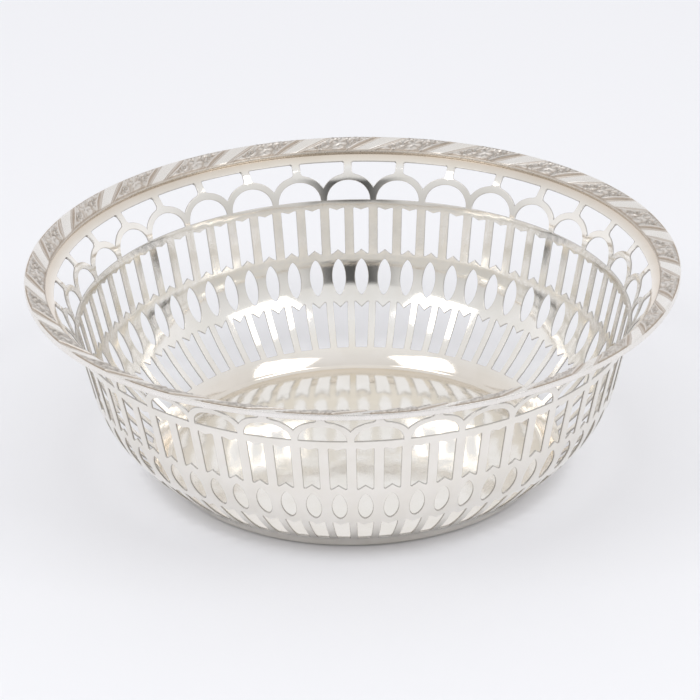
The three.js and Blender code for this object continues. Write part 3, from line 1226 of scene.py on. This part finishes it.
    def _outer_edge(self, crest: float) -> tuple[list[float], list[float]]:
        """The plain outer edge, from the border's top round to the sheet's outer face.

        A tight quarter circle rounds the top corner, then the lip falls upright, past the
        edge of the sheet, turns another tight corner and runs out on the outer face.

        Args:
            crest: Depth at which the edge begins.

        Returns:
            Lengths along the path, and depths from the sheet's outer face.
        """
        rim, skin = self.wall.rows.rim, self.skin
        reach = rim + self.wall.rows.border_lip - skin
        drop = crest - self.corner
        fall = math.tan(math.radians(self.wall.rises[-1])) * drop
        s = reach - self.corner * (1 - np.sin(QUARTER_TURN))
        depth = drop + self.corner * np.cos(QUARTER_TURN)
        ends = [reach - skin / 2 - fall, reach - 2 * skin - fall, rim - self.wrap]
        return [*s, *ends], [*depth, 0.75 * skin, -skin, -skin]

    def _foot(self, crest: float) -> tuple[list[float], list[float]]:
        """The foot, within the sheet, and the inner edge, up to the border's top.

        Args:
            crest: Depth of the border's plain top.

        Returns:
            Lengths along the path, and depths from the sheet's outer face.
        """
        inner = self.wall.rows.brim_foot - OVERHANG
        outer = inner + self.width - self.wrap - self.foot_gap
        depth = [SHEET / 2, SHEET / 2, crest - self.inset, crest - self.foot_corner]
        return [outer, inner, inner, inner + self.foot_corner], depth

    def build(self, material: bpy.types.Material) -> bpy.types.Object:
        """Builds the border as one closed section carried round the brim.

        The section's foot lies within the sheet, so that no gap shows, and its outer edge
        closes over the sheet's.

        Args:
            material: The cast silver.

        Returns:
            The finished piece.
        """
        angle, s, depth, hollow, seam = self._repeat()
        crest = float(depth[0, -1])
        edge_s, edge_depth = self._outer_edge(crest)
        foot_s, foot_depth = self._foot(crest)
        others = len(edge_s) + len(foot_s)
        inside = len(foot_s) - 1
        plain = np.zeros((self.around_steps, others))
        outer_angle = np.repeat(angle[:, -1:], others - inside, 1)
        angle = np.concatenate([angle, outer_angle, np.repeat(angle[:, :1], inside, 1)], 1)
        s = np.concatenate([s, plain + [*edge_s, *foot_s]], 1)
        depth = np.concatenate([depth, plain + [*edge_depth, *foot_depth]], 1)
        hollow = np.concatenate([hollow, plain], 1)
        seam = np.concatenate([seam, plain], 1)
        # The foot and the inner wall take the full painted tint as shade.
        seam[:, -inside:] = 1.0
        turn = 2 * math.pi / self.repeats
        angle = np.concatenate([angle - turn * k for k in range(self.repeats)])
        angle = angle - math.radians(self.swing) * np.sin(angle)
        s, depth, hollow, seam = (
            np.tile(grid, (self.repeats, 1)) for grid in (s, depth, hollow, seam)
        )
        section = self.wall.place(angle, s, depth)
        count, columns = section.shape[:2]
        points = section.reshape(-1, 3)
        faces = grid_faces(count + 1, columns, closed=True) % (count * columns)
        item = mesh_object("rim_border_silver", points * MM, faces)
        item.data.materials.append(material)
        set_mask(item, "hollow", hollow.reshape(-1))
        set_mask(item, "seam", seam.reshape(-1))
        log.info("border: %d points, %d faces", len(points), len(faces))
        return item


@dataclass(frozen=True)
class Softbox:
    """A studio lamp that looks at the basket.

    Attributes:
        name: Name of the lamp.
        place: Where it hangs, in metres.
        power: Its power in watts.
        in_metal: Whether the silver reflects it. The others light the floor alone.
        size: Width and height of its face, in metres.
    """

    name: str
    place: tuple[float, float, float]
    power: float
    in_metal: bool = True
    size: tuple[float, float] = (0.62, 0.48)


@dataclass
class Studio:
    """The pale floor, the surroundings, the lamps and the camera.

    Attributes:
        sky_color: What the camera sees above the floor.
        room_ahead: Colours of the room in front of the basket, by the height of the view.
        room_behind: Colours of the room behind the basket.
        room_turn: The range of Y over which the room turns from the first to the second.
        shade_side: How far the dark patch in front reaches to each side, and its blur.
        shade_foot: Height of the patch's lower edge, and its blur.
        shade_top: Height of its upper edge, and its blur.
        shade_depth: The Y up to which the patch reaches, and its blur.
        shade_level: What is left of the room's light in the patch.
        rail_radius: Radius of the basket's rail, in which the distance is measured.
        focal_share: Focal length over the picture's width.
    """

    floor_half: float = 3.0
    floor_color: Color = (0.88, 0.878, 0.898)
    floor_roughness: float = 0.9
    floor_specular: float = 0.1
    sky_color: Color = (0.885, 0.89, 0.915)
    softboxes: tuple[Softbox, ...] = (
        Softbox("softbox_left", (-0.68, -0.52, 0.98), 1.5),
        Softbox("softbox_right", (0.68, -0.52, 0.98), 1.5),
        Softbox("floor_light_left", (-0.68, -0.52, 0.98), 1.4, in_metal=False),
        Softbox("floor_light_right", (0.68, -0.52, 0.98), 1.4, in_metal=False),
    )
    lamp_aim: float = 0.03
    room_ahead: Stops = (
        (0.0, (0.60, 0.60, 0.605)),
        (0.25, (0.66, 0.665, 0.675)),
        (0.55, (0.79, 0.80, 0.82)),
        (0.85, (0.88, 0.90, 0.94)),
        (1.0, (0.89, 0.89, 0.89)),
    )
    room_behind: Stops = (
        (0.0, (1.0, 1.0, 1.03)),
        (0.45, (0.90, 0.91, 0.94)),
        (0.85, (0.81, 0.81, 0.82)),
        (1.0, (0.89, 0.89, 0.89)),
    )
    room_turn: tuple[float, float] = (-0.55, 0.15)
    shade_side: tuple[float, float] = (0.25, 0.15)
    shade_foot: tuple[float, float] = (0.13, 0.04)
    shade_top: tuple[float, float] = (0.50, 0.04)
    shade_depth: tuple[float, float] = (0.0, 0.3)
    shade_level: float = 0.14
    rail_radius: float = 0.06798
    aim_height: float = 0.0394
    distance: float = 12.38782
    elevation: float = 0.4488702
    pan: float = 0.00117697
    tilt: float = -0.01122341
    roll: float = 0.0209787
    focal_share: float = 3430.643 / 700
    sensor_width: float = 36.0
    near_limit: float = 0.01

    def floor(self) -> bpy.types.Object:
        """The plain pale floor.

        Returns:
            The floor.
        """
        corners = np.array([[-1, -1, 0], [1, -1, 0], [1, 1, 0], [-1, 1, 0]]) * self.floor_half
        item = mesh_object("studio_floor", corners, np.array([[0, 1, 2, 3]]))
        material = bpy.data.materials.new("studio_floor")
        material.use_nodes = True
        paint = {
            "Base Color": (*self.floor_color, 1.0),
            "Roughness": self.floor_roughness,
            "Specular IOR Level": self.floor_specular,
        }
        Wiring(material.node_tree).feed(material.node_tree.nodes["Principled BSDF"], paint)
        item.data.materials.append(material)
        return item

    @staticmethod
    def _ramp(wiring: Wiring, height: bpy.types.NodeSocket, stops: Stops) -> bpy.types.NodeSocket:
        """A colour that follows a height.

        Args:
            wiring: The tree that it is made in.
            height: The height.
            stops: Heights and their colours, from the lowest up.

        Returns:
            The colour.
        """
        node = wiring.node("ValToRGB", {"Fac": height})
        elements = node.color_ramp.elements
        elements.remove(elements[1])
        elements[0].position = stops[0][0]
        elements[0].color = (*stops[0][1], 1.0)
        for place, color in stops[1:]:
            elements.new(place).color = (*color, 1.0)
        return node.outputs["Color"]

    def surroundings(self) -> None:
        """A pale room with a dark patch in front of the basket, and the camera's plain sky.

        The room's colour follows the height of the view, by one ramp in front of the basket
        and by another behind it. The patch's light is the largest of four smooth steps, one
        past each of its limits, so it is dark only within all of them.
        """
        world = bpy.data.worlds.new("studio")
        bpy.context.scene.world = world
        world.use_nodes = True
        wiring = Wiring(world.node_tree)
        view = wiring.node("TexCoord").outputs["Generated"]
        way = wiring.node("SeparateXYZ", {"Vector": view}).outputs
        behind = wiring.carry(way["Y"], self.room_turn, (0.0, 1.0), "SMOOTHSTEP")
        ahead, back = (
            self._ramp(wiring, way["Z"], stops) for stops in (self.room_ahead, self.room_behind)
        )
        room = wiring.mix(behind, ahead, back)
        foot, foot_blur = self.shade_foot
        light = self.shade_level
        for value, (limit, blur) in (
            (wiring.reckon("ABSOLUTE", way["X"]), self.shade_side),
            (way["Z"], self.shade_top),
            (way["Z"], (foot, -foot_blur)),
            (way["Y"], self.shade_depth),
        ):
            ends = limit - blur, limit + blur
            step = wiring.carry(value, ends, (self.shade_level, 1.0), "SMOOTHSTEP")
            light = wiring.reckon("MAXIMUM", light, step)
        dim = wiring.node("VectorMath", {0: room, "Scale": light}, operation="SCALE")
        seen = wiring.node("LightPath").outputs["Is Camera Ray"]
        color = wiring.mix(seen, dim.outputs["Vector"], (*self.sky_color, 1.0))
        wiring.feed(world.node_tree.nodes["Background"], {"Color": color})

    def lamps(self) -> None:
        """Hangs the softboxes, each turned to the basket."""
        for box in self.softboxes:
            data = bpy.data.lights.new(box.name, "AREA")
            data.shape = "RECTANGLE"
            data.size, data.size_y = box.size
            data.energy = box.power
            lamp = bpy.data.objects.new(box.name, data)
            lamp.location = box.place
            lamp.visible_glossy = box.in_metal
            aim = Vector((0, 0, self.lamp_aim)) - Vector(box.place)
            lamp.rotation_euler = aim.to_track_quat("-Z", "Y").to_euler()
            bpy.context.scene.collection.objects.link(lamp)

    def camera(self) -> bpy.types.Object:
        """The camera, at the photograph's viewing angle.

        It stands on a line that climbs by the elevation in front of the basket, looks at the
        axis at the aim's height, and is then panned, tilted and rolled a little.

        Returns:
            The camera.
        """
        reach = self.distance * self.rail_radius
        away = Vector((0, -math.cos(self.elevation), math.sin(self.elevation))) * reach
        forward = -away.normalized()
        right = forward.cross(Vector((0, 0, 1))).normalized()
        up = right.cross(forward)
        forward, right = (Matrix.Rotation(self.pan, 3, up) @ v for v in (forward, right))
        forward, up = (Matrix.Rotation(self.tilt, 3, right) @ v for v in (forward, up))
        right, up = (Matrix.Rotation(self.roll, 3, forward) @ v for v in (right, up))
        turn = Matrix((right, up, -forward)).transposed().to_4x4()
        data = bpy.data.cameras.new("camera")
        data.sensor_width = self.sensor_width
        data.lens = self.sensor_width * self.focal_share
        data.clip_start = self.near_limit
        item = bpy.data.objects.new("camera", data)
        item.matrix_world = Matrix.Translation(away + Vector((0, 0, self.aim_height))) @ turn
        bpy.context.scene.collection.objects.link(item)
        bpy.context.scene.camera = item
        return item

    def build(self) -> None:
        """Sets up the whole studio."""
        self.camera()
        self.floor()
        self.surroundings()
        self.lamps()
        bpy.context.scene.view_settings.view_transform = "Standard"


def main() -> None:
    """Builds the studio and the basket, and reports each piece."""
    logging.basicConfig(level=logging.INFO, format="%(name)s: %(message)s")
    Studio().build()
    shop = SilverShop()
    for builder, node, finish in (
        (PiercedBowl(), "pierced_bowl", POLISHED),
        (ReliefBorder(), "rim_border", CAST),
    ):
        piece = builder.build(shop.material(finish))
        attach(piece, "root")
        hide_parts(node)
        log.info("%s stands for %s", piece.name, node)


if __name__ == "__main__":
    main()
